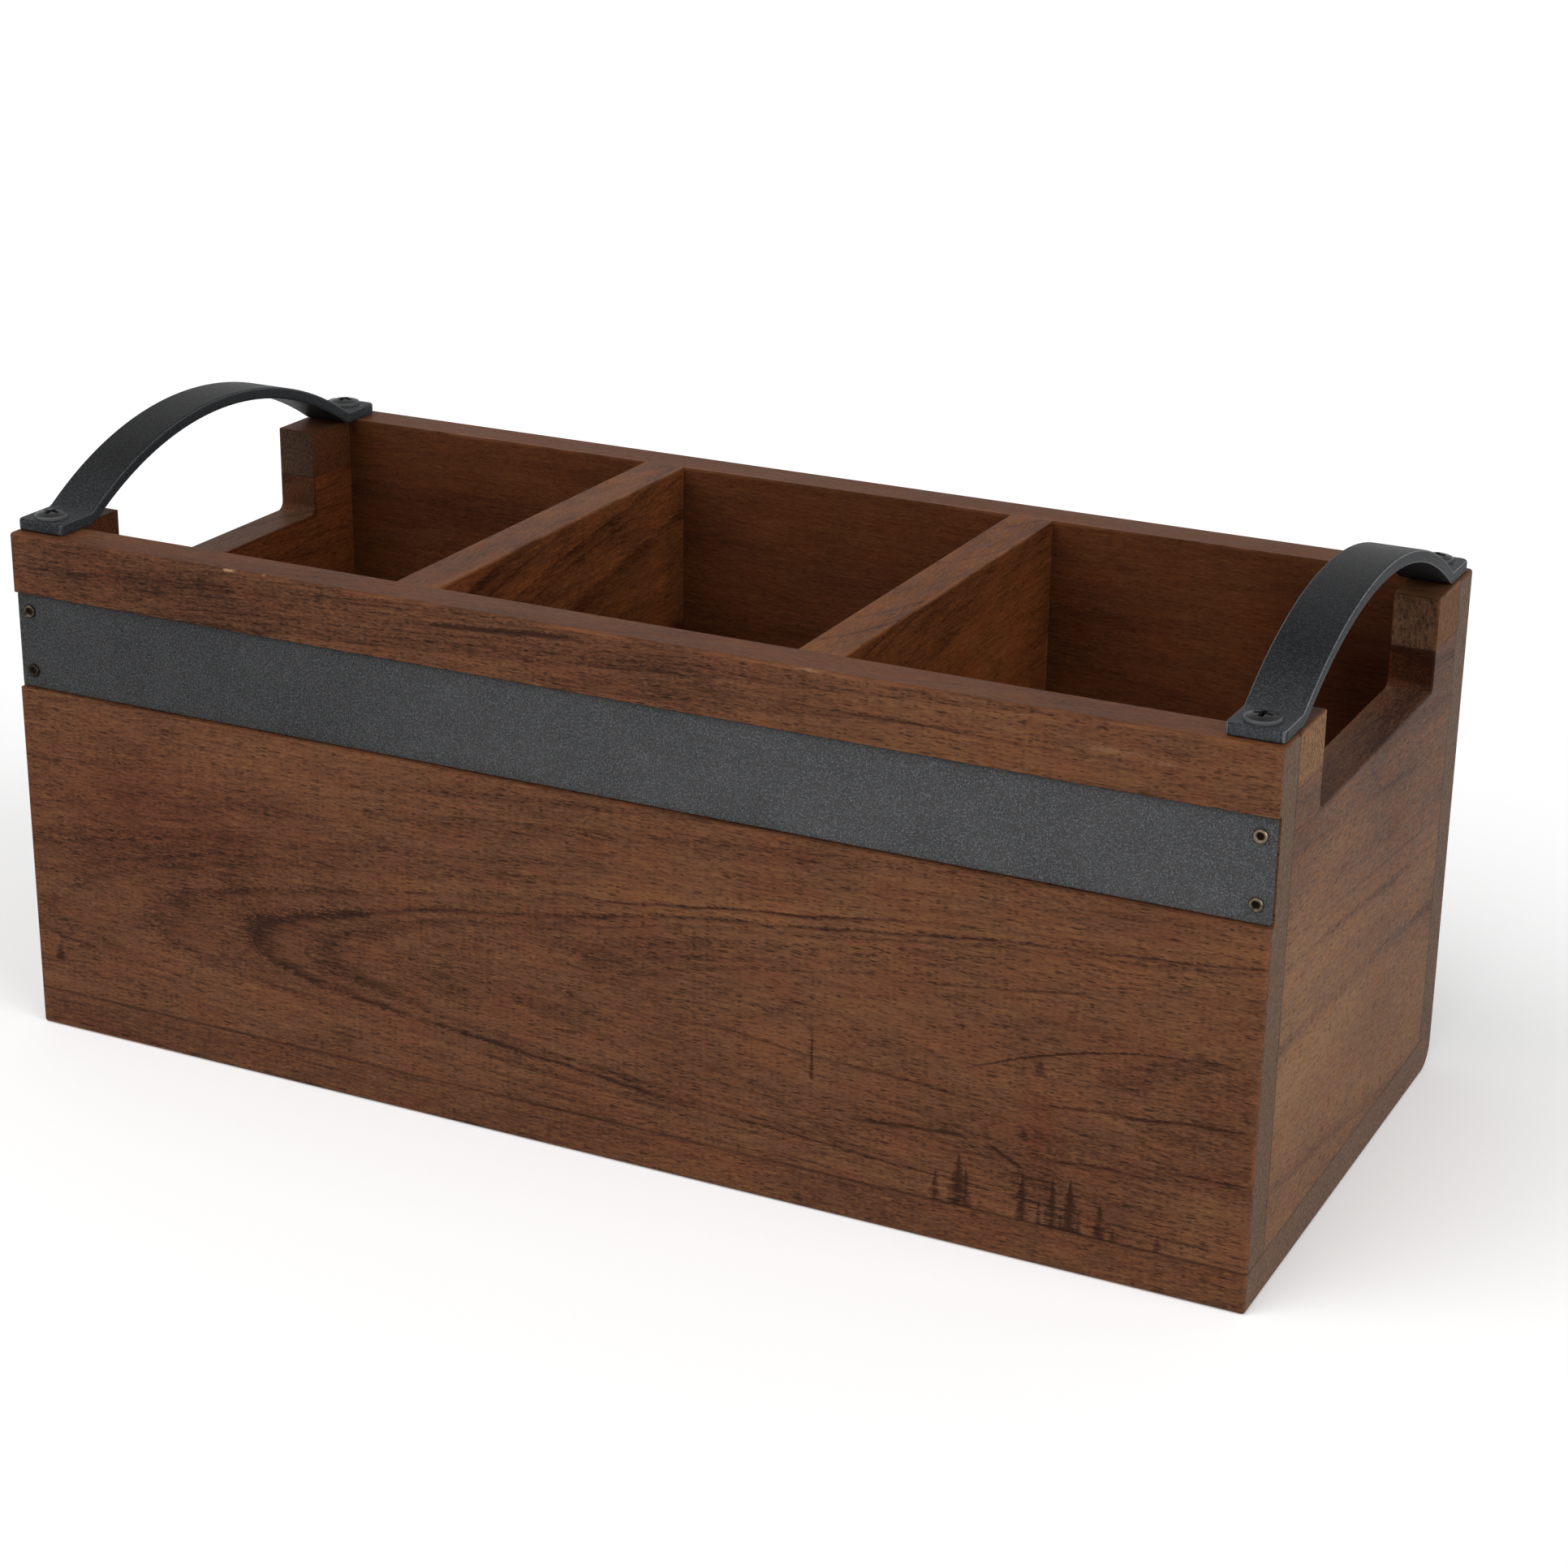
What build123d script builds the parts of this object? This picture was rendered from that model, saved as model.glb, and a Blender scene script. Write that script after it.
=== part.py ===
# Wooden divided tray: three open compartments, a finger notch in each end,
# a steel band let into the front and a bent flat-bar handle over each notch.
# Millimetres. X runs along the length, the front faces -Y, +Z is up.
# The origin is the centre of the underside.

import os
from math import atan, degrees, sin
from build123d import *

os.makedirs("parts", exist_ok=True)

# The box
tray_length = 292.1
tray_depth = 129.54
rim_height = 118.0
panel_thickness = 10.0
end_thickness = 10.0
divider_thickness = 10.4
bottom_thickness = 9.1
bottom_back_radius = 6.0
edge_ease = 0.8
arris = 0.4

# The ends: a lower board, a strip glued on top, and a notch cut down through both
strip_height = 11.5
notch_width = 77.5
notch_depth = 20.5
notch_corner_radius = 2.0

# The band in the front panel and its nails
band_height = 21.4
band_thickness = 0.6
band_drop = 14.1
band_end_gap = 0.45
band_recess = 1.0
band_corner_radius = 0.5
groove_clearance = 0.45
nail_head_radius = 1.5
nail_head_height = 0.6
nail_shank_radius = 0.75
nail_cup_radius = 0.95
nail_cup_depth = 0.4
nail_ease = 0.2
nail_length = 15.0
nail_point_length = 2.0
nail_spacing = 13.8
nail_inset = 3.6
nail_clearance = 0.1

# The handles and their screws
strap_width = 12.0
strap_thickness = 2.7
strap_edge_radius = 0.6
handle_rise = 17.89
handle_inset = 0.6
handle_setback = 2.2
foot_length = 10.7
foot_corner_radius = 1.6
bend_radius = 2.5
screw_setback = 4.6
screw_head_radius = 3.65
screw_rim_height = 0.7
screw_dome_height = 0.7
screw_rim_ease = 0.25
screw_shank_radius = 1.75
screw_length = 18.0
screw_point_length = 3.5
screw_hole_clearance = 0.25
recess_length = 3.9
recess_width = 1.15
recess_depth = 1.2
recess_taper = 12.0

# Hidden joinery
dowel_radius = 2.5
dowel_length = 18.0
dowel_in_panel = 6.0
dowel_ease = 0.4
low_dowel_height = 32.0
high_dowel_height = 66.0
base_screw_head_radius = 2.8
base_screw_shank_radius = 1.5
base_screw_length = 24.0
base_screw_point_length = 3.0
base_screw_sink = 0.3
base_screw_inset = 3.0
base_screw_pitch = 105.0
base_screw_reach = 26.0
base_recess_length = 3.4
base_recess_width = 0.85
fit_clearance = 0.05

# Worked out from the sizes above
half_length = tray_length / 2
half_depth = tray_depth / 2
inner_half_depth = half_depth - panel_thickness
wall_height = rim_height - bottom_thickness
board_top = rim_height - strip_height
notch_floor = rim_height - notch_depth
post_width = inner_half_depth - notch_width / 2
end_middle = half_length - end_thickness / 2
panel_middle = half_depth - panel_thickness / 2
bay_length = (tray_length - 2 * end_thickness - 2 * divider_thickness) / 3
divider_middle = (bay_length + divider_thickness) / 2
groove_depth = band_thickness + band_recess
groove_height = band_height + 2 * groove_clearance
band_middle = rim_height - band_drop - band_height / 2
band_face = half_depth - band_recess
nail_line = half_length - nail_inset
strap_middle = half_length - handle_inset - strap_width / 2
screw_line = half_depth - handle_setback - screw_setback
foot_top = rim_height + strap_thickness
base_screw_row = inner_half_depth + base_screw_inset

sides = {"left": -1, "right": 1}
faces = {"front": -1, "back": 1}

# Where each fastener enters, as planes that look back out of its hole
nail_seats = [
    Plane(origin=(side * nail_line, -band_face, band_middle + step * nail_spacing / 2), z_dir=(0, -1, 0))
    for side in sides.values()
    for step in (-1, 1)
]
handle_screw_seats = [
    Plane(origin=(side * strap_middle, face * screw_line, foot_top), z_dir=(0, 0, 1))
    for side in sides.values()
    for face in faces.values()
]
dowel_heights = (low_dowel_height, high_dowel_height)
corner_joints = [
    (side * end_middle, face, height)
    for side in sides.values()
    for face in faces.values()
    for height in dowel_heights
]
divider_joints = [
    (side * divider_middle, face, height)
    for side in sides.values()
    for face in faces.values()
    for height in dowel_heights
]


def dowel_planes(joints):
    """Planes on the inner faces of the panels, looking towards the middle of the tray."""
    return [Plane(origin=(x, face * inner_half_depth, z), z_dir=(0, -face, 0)) for x, face, z in joints]


panel_screws = {
    face: [(step * base_screw_pitch, face * base_screw_row) for step in (-1, 0, 1)] for face in faces.values()
}
end_screws = {side: [(side * end_middle, face * base_screw_reach) for face in faces.values()] for side in sides.values()}
divider_screws = {
    side: [(side * divider_middle, face * base_screw_reach) for face in faces.values()] for side in sides.values()
}
base_screw_places = [
    place
    for group in (panel_screws, end_screws, divider_screws)
    for places in group.values()
    for place in places
]


def base_pilot_planes(places):
    """Planes on the top of the bottom board, looking down: a pilot hole there goes up into the wall."""
    return [Plane(origin=(x, y, bottom_thickness), z_dir=(0, 0, -1)) for x, y in places]


base_pilot_depth = base_screw_length + base_screw_sink - bottom_thickness + fit_clearance

# Bottom board: one plank under all four walls, its lower back edge rounded over
with BuildPart() as bottom_board:
    with BuildSketch(Plane.YZ) as board_section:
        Rectangle(tray_depth, bottom_thickness, align=(Align.CENTER, Align.MIN))
        fillet(board_section.vertices().group_by(Axis.Y)[0].sort_by(Axis.X)[-1], radius=bottom_back_radius)
        fillet(board_section.vertices().group_by(Axis.Y)[0].sort_by(Axis.X)[0], radius=edge_ease)
    extrude(amount=half_length, both=True)
    end_edges = bottom_board.faces().filter_by(Axis.X).edges()
    fillet(end_edges - end_edges.group_by(Axis.Z)[-1], radius=edge_ease)
    with Locations(*[Plane(origin=(x, y, base_screw_sink), z_dir=(0, 0, -1)) for x, y in base_screw_places]):
        CounterSinkHole(
            radius=base_screw_shank_radius + fit_clearance,
            counter_sink_radius=base_screw_head_radius + fit_clearance,
            counter_sink_angle=90,
        )
bottom_board.part.label = "bottom_board"
export_step(bottom_board.part, "parts/bottom_board.step")

# Front and back panels: full-length planks. The front one has the band's groove and the nail holes.
for name, face in faces.items():
    with BuildPart() as panel:
        with BuildSketch(Plane.XY.offset(bottom_thickness)):
            with Locations((0, face * panel_middle)):
                Rectangle(tray_length, panel_thickness)
        extrude(amount=wall_height)
        outward = Axis.Y if face > 0 else -Axis.Y
        top_edges = panel.edges().group_by(Axis.Z)[-1]
        outer_top_edge = top_edges.filter_by(Axis.X).sort_by(outward)[-1:]
        outer_corners = panel.edges().filter_by(Axis.Z).group_by(outward)[-1]
        fillet(outer_corners + outer_top_edge + top_edges.filter_by(Axis.Y), radius=edge_ease)
        if name == "front":
            with BuildSketch(Plane.XZ.offset(half_depth)):
                with Locations((0, band_middle)):
                    Rectangle(tray_length, groove_height)
            extrude(amount=-groove_depth, mode=Mode.SUBTRACT)
            with Locations(*nail_seats):
                Hole(radius=nail_shank_radius + fit_clearance, depth=nail_length + fit_clearance)
        with Locations(*[seat for seat in handle_screw_seats if seat.origin.Y * face > 0]):
            Hole(radius=screw_shank_radius + fit_clearance, depth=screw_length + fit_clearance)
        with Locations(*dowel_planes([j for j in corner_joints + divider_joints if j[1] == face])):
            Hole(radius=dowel_radius + fit_clearance, depth=dowel_in_panel + fit_clearance)
        with Locations(*base_pilot_planes(panel_screws[face])):
            Hole(radius=base_screw_shank_radius + fit_clearance, depth=base_pilot_depth)
    panel.part.label = name + "_panel"
    export_step(panel.part, "parts/" + name + "_panel.step")

# End panels: the lower board of each edge-glued end, with the floor of the finger notch.
# The cutter leaves a small cove where the floor meets the posts, and the notch's edges are eased.
for name, side in sides.items():
    with BuildPart() as end_panel:
        with BuildSketch(Plane.YZ.offset(side * end_middle)) as end_section:
            with Locations((0, (bottom_thickness + board_top) / 2)):
                Rectangle(2 * inner_half_depth, board_top - bottom_thickness)
            with Locations((0, notch_floor)):
                Rectangle(notch_width, notch_depth, align=(Align.CENTER, Align.MIN), mode=Mode.SUBTRACT)
            fillet(end_section.vertices().group_by(Axis.Y)[1], radius=notch_corner_radius)
        extrude(amount=end_thickness / 2, both=True)
        floor = end_panel.faces().filter_by(Axis.Z).group_by(Axis.Z)[-2].sort_by(SortBy.AREA)[-1]
        fillet(floor.edges().filter_by(Axis.Y), radius=arris)
        with Locations(*dowel_planes([j for j in corner_joints if j[0] * side > 0])):
            Hole(radius=dowel_radius + fit_clearance, depth=dowel_length - dowel_in_panel + fit_clearance)
        with Locations(*[seat for seat in nail_seats if seat.origin.X * side > 0]):
            Hole(radius=nail_shank_radius + fit_clearance, depth=nail_length + fit_clearance)
        with Locations(*base_pilot_planes(end_screws[side])):
            Hole(radius=base_screw_shank_radius + fit_clearance, depth=base_pilot_depth)
    end_panel.part.label = name + "_end_panel"
    export_step(end_panel.part, "parts/" + name + "_end_panel.step")

# Post blocks: what the notch leaves of the strip glued along the top of each end
for side_name, side in sides.items():
    for face_name, face in faces.items():
        with BuildPart() as block:
            with BuildSketch(Plane.XY.offset(board_top)):
                with Locations((side * end_middle, face * (inner_half_depth - post_width / 2))):
                    Rectangle(end_thickness, post_width)
            extrude(amount=strip_height)
            outward = Axis.X if side > 0 else -Axis.X
            inward = -Axis.Y if face > 0 else Axis.Y
            notch_edges = block.edges().group_by(inward)[-1]
            outer_top_edge = block.edges().filter_by(Axis.Y).group_by(Axis.Z)[-1].sort_by(outward)[-1:]
            upper_notch_edge = notch_edges.filter_by(Axis.X).sort_by(Axis.Z)[-1:]
            fillet(notch_edges.filter_by(Axis.Z) + upper_notch_edge + outer_top_edge, radius=arris)
        node_name = side_name + "_" + face_name + "_post_block"
        block.part.label = node_name
        export_step(block.part, "parts/" + node_name + ".step")

# Dividers: cross boards between the panels, flush with the rim
for name, side in sides.items():
    with BuildPart() as divider:
        with BuildSketch(Plane.XY.offset(bottom_thickness)):
            with Locations((side * divider_middle, 0)):
                Rectangle(divider_thickness, 2 * inner_half_depth)
        extrude(amount=wall_height)
        fillet(divider.edges().filter_by(Axis.Y).group_by(Axis.Z)[-1], radius=arris)
        with Locations(*dowel_planes([j for j in divider_joints if j[0] * side > 0])):
            Hole(radius=dowel_radius + fit_clearance, depth=dowel_length - dowel_in_panel + fit_clearance)
        with Locations(*base_pilot_planes(divider_screws[side])):
            Hole(radius=base_screw_shank_radius + fit_clearance, depth=base_pilot_depth)
    divider.part.label = name + "_divider"
    export_step(divider.part, "parts/" + name + "_divider.step")

# Front band: a steel strip on the floor of the groove, below the wood, drilled for its nails
with BuildPart() as front_band:
    with BuildSketch(Plane.XZ.offset(band_face)):
        with Locations((0, band_middle)):
            RectangleRounded(tray_length - 2 * band_end_gap, band_height, band_corner_radius)
    extrude(amount=-band_thickness)
    with Locations(*nail_seats):
        Hole(radius=nail_shank_radius + nail_clearance, depth=band_thickness)
front_band.part.label = "front_band"
export_step(front_band.part, "parts/front_band.step")

# One band nail: a small round head with a cupped face that sits on the band
with BuildPart() as nail:
    with BuildSketch(Plane.XZ):
        with BuildLine():
            Polyline(
                (0, nail_head_height - nail_cup_depth),
                (nail_cup_radius - nail_cup_depth, nail_head_height - nail_cup_depth),
                (nail_cup_radius, nail_head_height),
                (nail_head_radius - nail_ease, nail_head_height),
                (nail_head_radius, nail_head_height - nail_ease),
                (nail_head_radius, 0),
                (nail_shank_radius, 0),
                (nail_shank_radius, nail_point_length - nail_length),
                (0, -nail_length),
                close=True,
            )
        make_face()
    revolve(axis=Axis.Z)

with BuildPart() as band_nails:
    with Locations(*nail_seats):
        add(nail.part)
band_nails.part.label = "band_nails"
export_step(band_nails.part, "parts/band_nails.step")

# Handles: flat bar bent into an arch over the notch, with a flat foot at each end.
# The arch and the two bends meet tangentially, so the arch's rise and the length
# between the bends fix the turn at each bend and the arch's radius.
bar_middle = rim_height + strap_thickness / 2
bend_start = half_depth - handle_setback - foot_length
bend_turn = 2 * atan((handle_rise - strap_thickness) / bend_start)
bend_middle_radius = bend_radius + strap_thickness / 2
arch_middle_radius = bend_start / sin(bend_turn) - bend_middle_radius
arch_centre = rim_height + handle_rise - strap_thickness / 2 - arch_middle_radius

for name, side in sides.items():
    with BuildPart() as handle:
        with BuildSketch(Plane.YZ.offset(side * strap_middle)):
            with BuildLine():
                Line((half_depth - handle_setback, bar_middle), (bend_start, bar_middle))
                CenterArc((bend_start, bar_middle + bend_middle_radius), bend_middle_radius, 270, -degrees(bend_turn))
                CenterArc((0, arch_centre), arch_middle_radius, 90 - degrees(bend_turn), degrees(bend_turn))
                mirror(about=Plane.YZ)
            trace(line_width=strap_thickness)
        extrude(amount=strap_width / 2, both=True)
        tips = handle.faces().filter_by(Axis.Y)
        fillet(tips.edges().filter_by(Axis.Z), radius=foot_corner_radius)
        broad_sides = handle.faces().filter_by(Axis.X)
        fillet(broad_sides.edges(), radius=strap_edge_radius)
        with Locations(*[seat for seat in handle_screw_seats if seat.origin.X * side > 0]):
            Hole(radius=screw_shank_radius + screw_hole_clearance, depth=strap_thickness)
    handle.part.label = name + "_handle"
    export_step(handle.part, "parts/" + name + "_handle.step")

# One handle screw: a low domed head on the foot with a cross recess, and a plain shank with a point
screw_head_height = screw_rim_height + screw_dome_height
screw_dome_radius = (screw_head_radius**2 + screw_dome_height**2) / (2 * screw_dome_height)
with BuildPart() as handle_screw:
    with BuildSketch(Plane.XZ) as screw_section:
        with BuildLine():
            Polyline(
                (0, screw_head_height),
                (0, -screw_length),
                (screw_shank_radius, screw_point_length - screw_length),
                (screw_shank_radius, 0),
                (screw_head_radius, 0),
                (screw_head_radius, screw_rim_height),
            )
            RadiusArc((screw_head_radius, screw_rim_height), (0, screw_head_height), -screw_dome_radius)
        make_face()
        fillet(screw_section.vertices().group_by(Axis.X)[-1].sort_by(Axis.Y)[-1], radius=screw_rim_ease)
    revolve(axis=Axis.Z)
    with BuildSketch(Plane.XY.offset(screw_head_height)):
        Rectangle(recess_length, recess_width)
        Rectangle(recess_width, recess_length)
    extrude(amount=-recess_depth, taper=recess_taper, mode=Mode.SUBTRACT)

with BuildPart() as handle_screws:
    with Locations(*handle_screw_seats):
        add(handle_screw.part)
handle_screws.part.label = "handle_screws"
export_step(handle_screws.part, "parts/handle_screws.step")

# Dowels: plain pins with eased ends, glued into the panels and the boards that butt against them
with BuildPart() as dowel:
    with BuildSketch(Plane.XY.offset(-dowel_in_panel)):
        Circle(dowel_radius)
    extrude(amount=dowel_length)
    chamfer(dowel.edges().filter_by(GeomType.CIRCLE), length=dowel_ease)

for node_name, joints in {"corner_dowels": corner_joints, "divider_dowels": divider_joints}.items():
    with BuildPart() as dowels:
        with Locations(*dowel_planes(joints)):
            add(dowel.part)
    dowels.part.label = node_name
    export_step(dowels.part, "parts/" + node_name + ".step")

# One bottom screw: a countersunk head just inside the underside, going up into a wall
base_head_depth = base_screw_head_radius - base_screw_shank_radius
with BuildPart() as base_screw:
    with BuildSketch(Plane.XZ):
        with BuildLine():
            Polyline(
                (0, 0),
                (0, -base_screw_length),
                (base_screw_shank_radius, base_screw_point_length - base_screw_length),
                (base_screw_shank_radius, -base_head_depth),
                (base_screw_head_radius, 0),
                close=True,
            )
        make_face()
    revolve(axis=Axis.Z)
    with BuildSketch(Plane.XY):
        Rectangle(base_recess_length, base_recess_width)
        Rectangle(base_recess_width, base_recess_length)
    extrude(amount=-recess_depth, taper=recess_taper, mode=Mode.SUBTRACT)

with BuildPart() as bottom_screws:
    with Locations(*[Plane(origin=(x, y, base_screw_sink), z_dir=(0, 0, -1)) for x, y in base_screw_places]):
        add(base_screw.part)
bottom_screws.part.label = "bottom_screws"
export_step(bottom_screws.part, "parts/bottom_screws.step")
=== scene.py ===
# The divided wooden tray: stained boards, a powder-coated band and two bent handles.
# Metres. X runs along the length, the front faces -Y, +Z is up.

import math
import bpy
from mathutils import Matrix, Vector


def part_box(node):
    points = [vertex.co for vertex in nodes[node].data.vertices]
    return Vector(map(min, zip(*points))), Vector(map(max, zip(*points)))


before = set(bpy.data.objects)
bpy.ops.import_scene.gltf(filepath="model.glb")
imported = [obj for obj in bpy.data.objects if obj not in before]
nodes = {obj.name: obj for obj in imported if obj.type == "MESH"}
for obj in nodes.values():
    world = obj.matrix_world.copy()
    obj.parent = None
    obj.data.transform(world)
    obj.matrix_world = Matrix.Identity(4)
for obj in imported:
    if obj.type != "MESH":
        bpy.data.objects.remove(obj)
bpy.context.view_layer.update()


# Bottom board: one hardwood plank under all four walls, stained walnut brown and rubbed with satin lacquer.
# Its edge shows as a strip with its own grain below the front panel, parted from it by a fine dark seam.
# Patterns and boxes are in millimetres, and MM is how many of them make a metre.
MM = 1000.0
pore_tone = "#180d08"
seam_tone = "#1c0d07"
rubbed_tone = "#7d5136"
bare_tone = "#b98f6c"
red_tint = "#f6dcdc"


def linear(hex_colour):
    """The linear RGBA colour of an sRGB hex value."""
    channels = [int(hex_colour[i:i + 2], 16) / 255 for i in (1, 3, 5)]
    return [c / 12.92 if c <= 0.04045 else ((c + 0.055) / 1.055) ** 2.4 for c in channels] + [1.0]


def add_node(tree, kind, inputs=None, **options):
    """Adds a shader node, sets its options, fills or links its inputs, and returns its first output.

    Inputs are named or counted. A MapRange's are its value, the range that comes in and the range that goes
    out."""
    node = tree.nodes.new("ShaderNode" + kind)
    for option, value in options.items():
        setattr(node, option, value)
    for socket, value in (inputs or {}).items():
        if isinstance(value, bpy.types.NodeSocket):
            tree.links.new(value, node.inputs[socket])
        else:
            node.inputs[socket].default_value = value
    return node.outputs[0] if node.outputs else node


def start_material(name):
    """An empty material with its place in millimetres, as one vector."""
    material = bpy.data.materials.new(name)
    material.use_nodes = True
    tree = material.node_tree
    tree.nodes.clear()
    place = add_node(tree, "TexCoord").node.outputs["Object"]
    place = add_node(tree, "VectorMath", {0: place, 1: (MM, MM, MM)}, operation="MULTIPLY")
    return material, tree, place


def apart(tree, value, target):
    """How far a value is from its target, either way."""
    difference = add_node(tree, "Math", {0: value, 1: target}, operation="SUBTRACT")
    return add_node(tree, "Math", {0: difference}, operation="ABSOLUTE")


def facing_axes(tree):
    """How squarely the surface faces along x, y and z, either way."""
    facing = add_node(tree, "TexCoord").node.outputs["Normal"]
    facing = add_node(tree, "VectorMath", {0: facing}, operation="ABSOLUTE")
    return add_node(tree, "SeparateXYZ", {0: facing}).node.outputs


def edge_lines(tree, place, edges, reach, ragged):
    """1 on the given edges, fading to 0 at reach millimetres. An edge is where two planes meet."""
    axes = add_node(tree, "SeparateXYZ", {0: place}).node.outputs
    total = 0.0
    for (axis_a, value_a), (axis_b, value_b) in edges:
        away_a = apart(tree, axes[axis_a], value_a)
        away_b = apart(tree, axes[axis_b], value_b)
        away = add_node(tree, "Math", {0: away_a, 1: away_b}, operation="MAXIMUM")
        away = add_node(tree, "Math", {0: ragged, 1: -reach, 2: away}, operation="MULTIPLY_ADD")
        line = add_node(tree, "MapRange", {0: away, 1: 0.0, 2: reach, 3: 1.0, 4: 0.0})
        total = add_node(tree, "Math", {0: total, 1: line}, operation="MAXIMUM")
    return total


def streaks(tree, source, length, width, detail=2.0):
    """Noise drawn out along the grain, as long and as wide as given in millimetres."""
    spot = add_node(tree, "VectorMath", {0: source, 1: (1 / length, 1 / width, 1 / width)},
                    operation="MULTIPLY")
    return add_node(tree, "TexNoise", {"Vector": spot, "Scale": 1.0, "Detail": detail, "Roughness": 0.55})


def from_heart(tree, along, waver, speckle, heart, lean, arch):
    """How far a point is from the tree's centre line, which leans and opens into an arch."""
    opening = add_node(tree, "Math", {0: arch[1], 1: along}, operation="SUBTRACT")
    opening = add_node(tree, "Math", {0: opening, 1: arch[0]}, operation="MULTIPLY")
    opening = add_node(tree, "Math", {0: opening, 1: 0.0}, operation="MAXIMUM")
    opening = add_node(tree, "Math", {0: opening}, operation="SQRT")
    centre_across = add_node(tree, "Math", {0: along, 1: lean[0], 2: heart[0]}, operation="MULTIPLY_ADD")
    centre_across = add_node(tree, "Math", {0: centre_across, 1: opening}, operation="SUBTRACT")
    centre_up = add_node(tree, "Math", {0: along, 1: lean[1], 2: heart[1]}, operation="MULTIPLY_ADD")
    centre = add_node(tree, "CombineXYZ", {0: along, 1: centre_across, 2: centre_up})
    spoke = add_node(tree, "VectorMath", {0: waver, 1: centre}, operation="SUBTRACT")
    spoke = add_node(tree, "VectorMath", {0: spoke, 1: (0.0, 1.0, 1.0)}, operation="MULTIPLY")
    radius = add_node(tree, "VectorMath", {0: spoke}, operation="LENGTH").node.outputs["Value"]
    ragged = add_node(tree, "Math", {0: speckle, 1: 0.5}, operation="SUBTRACT")
    return add_node(tree, "Math", {0: ragged, 1: 0.9, 2: radius}, operation="MULTIPLY_ADD")


def growth_rings(tree, radius, stain, patches, ring_step, seed, figure, rings):
    """The soft bands of the growth rings, and the dark late wood at their ends. rings adds single dark
    lines, each at its own distance from the centre line, with its width and its depth."""
    turn = add_node(tree, "Math", {0: radius, 1: 1 / ring_step, 2: 7.0 * seed}, operation="MULTIPLY_ADD")
    bands = add_node(tree, "TexNoise", {"W": turn, "Scale": 0.8, "Detail": 3.0, "Roughness": 0.6},
                     noise_dimensions="1D")
    half_turn = add_node(tree, "Math", {0: turn, 1: 0.53}, operation="MULTIPLY")
    late = add_node(tree, "TexNoise", {"W": half_turn, "Scale": 1.0, "Detail": 1.0}, noise_dimensions="1D")
    late = apart(tree, late, 0.5)
    late = add_node(tree, "MapRange", {0: late, 1: 0.0, 2: 0.03, 3: 0.7, 4: 0.0},
                    interpolation_type="SMOOTHSTEP")
    broken = add_node(tree, "MapRange", {0: stain, 1: 0.38, 2: 0.58, 3: figure, 4: 0.25 * figure})
    late = add_node(tree, "Math", {0: late, 1: broken}, operation="MULTIPLY")
    broken = add_node(tree, "MapRange", {0: patches, 1: 0.35, 2: 0.6, 3: 1.0, 4: 0.5})
    for line_radius, line_width, line_depth in rings:
        away = apart(tree, radius, line_radius)
        line = add_node(tree, "MapRange", {0: away, 1: 0.0, 2: line_width, 3: line_depth, 4: 0.0})
        line = add_node(tree, "Math", {0: line, 1: broken}, operation="MULTIPLY")
        late = add_node(tree, "Math", {0: late, 1: line}, operation="MAXIMUM")
    return bands, late


def open_pores(tree, fibre_place, late):
    """Short dark dashes along the grain, crowded beside the ring lines, and a few longer ones."""
    pores = 0.0
    for dash, gap, share in ((1.5, 0.36, 0.55), (3.3, 0.5, 0.3)):
        spot = add_node(tree, "VectorMath", {0: fibre_place, 1: (1 / dash, 1 / gap, 1 / gap)},
                        operation="MULTIPLY")
        cells = add_node(tree, "TexVoronoi", {"Vector": spot, "Scale": 1.0, "Randomness": 1.0})
        chance = add_node(tree, "SeparateXYZ", {0: cells.node.outputs["Color"]})
        chance = add_node(tree, "Math", {0: late, 1: 0.5, 2: chance}, operation="MULTIPLY_ADD")
        chance = add_node(tree, "MapRange", {0: chance, 1: 1 - share, 2: 1.0, 3: 0.0, 4: 1.0})
        hole = add_node(tree, "MapRange", {0: cells, 1: 0.25, 2: 0.48, 3: 1.0, 4: 0.0})
        hole = add_node(tree, "Math", {0: hole, 1: chance}, operation="MULTIPLY")
        pores = add_node(tree, "Math", {0: pores, 1: hole}, operation="MAXIMUM")
    return pores


def cut_faces(tree, place, colour, end_tone, end_axes, end_grit):
    """Shows the faces across end_axes in the tone of cut fibres, with grit of a width in millimetres."""
    facing = facing_axes(tree)
    cut = 0.0
    for axis in end_axes:
        cut = add_node(tree, "Math", {0: facing[axis], 1: cut}, operation="MAXIMUM")
    cut = add_node(tree, "MapRange", {0: cut, 1: 0.75, 2: 0.95, 3: 0.0, 4: 0.8})
    colour = add_node(tree, "MixRGB", {0: cut, 1: colour, 2: linear(end_tone)})
    grit_size = (end_grit, end_grit, 2.6 * end_grit)
    spot = add_node(tree, "VectorMath", {0: place, 1: grit_size}, operation="DIVIDE")
    grit = add_node(tree, "TexNoise", {"Vector": spot, "Scale": 1.0, "Detail": 2.0, "Distortion": 0.8})
    grit = add_node(tree, "MapRange", {0: grit, 1: 0.36, 2: 0.6, 3: 0.45, 4: 1.25})
    grit = add_node(tree, "MapRange", {0: cut, 1: 0.0, 2: 0.8, 3: 1.0, 4: grit})
    return add_node(tree, "VectorMath", {0: colour, "Scale": grit}, operation="SCALE")


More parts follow.
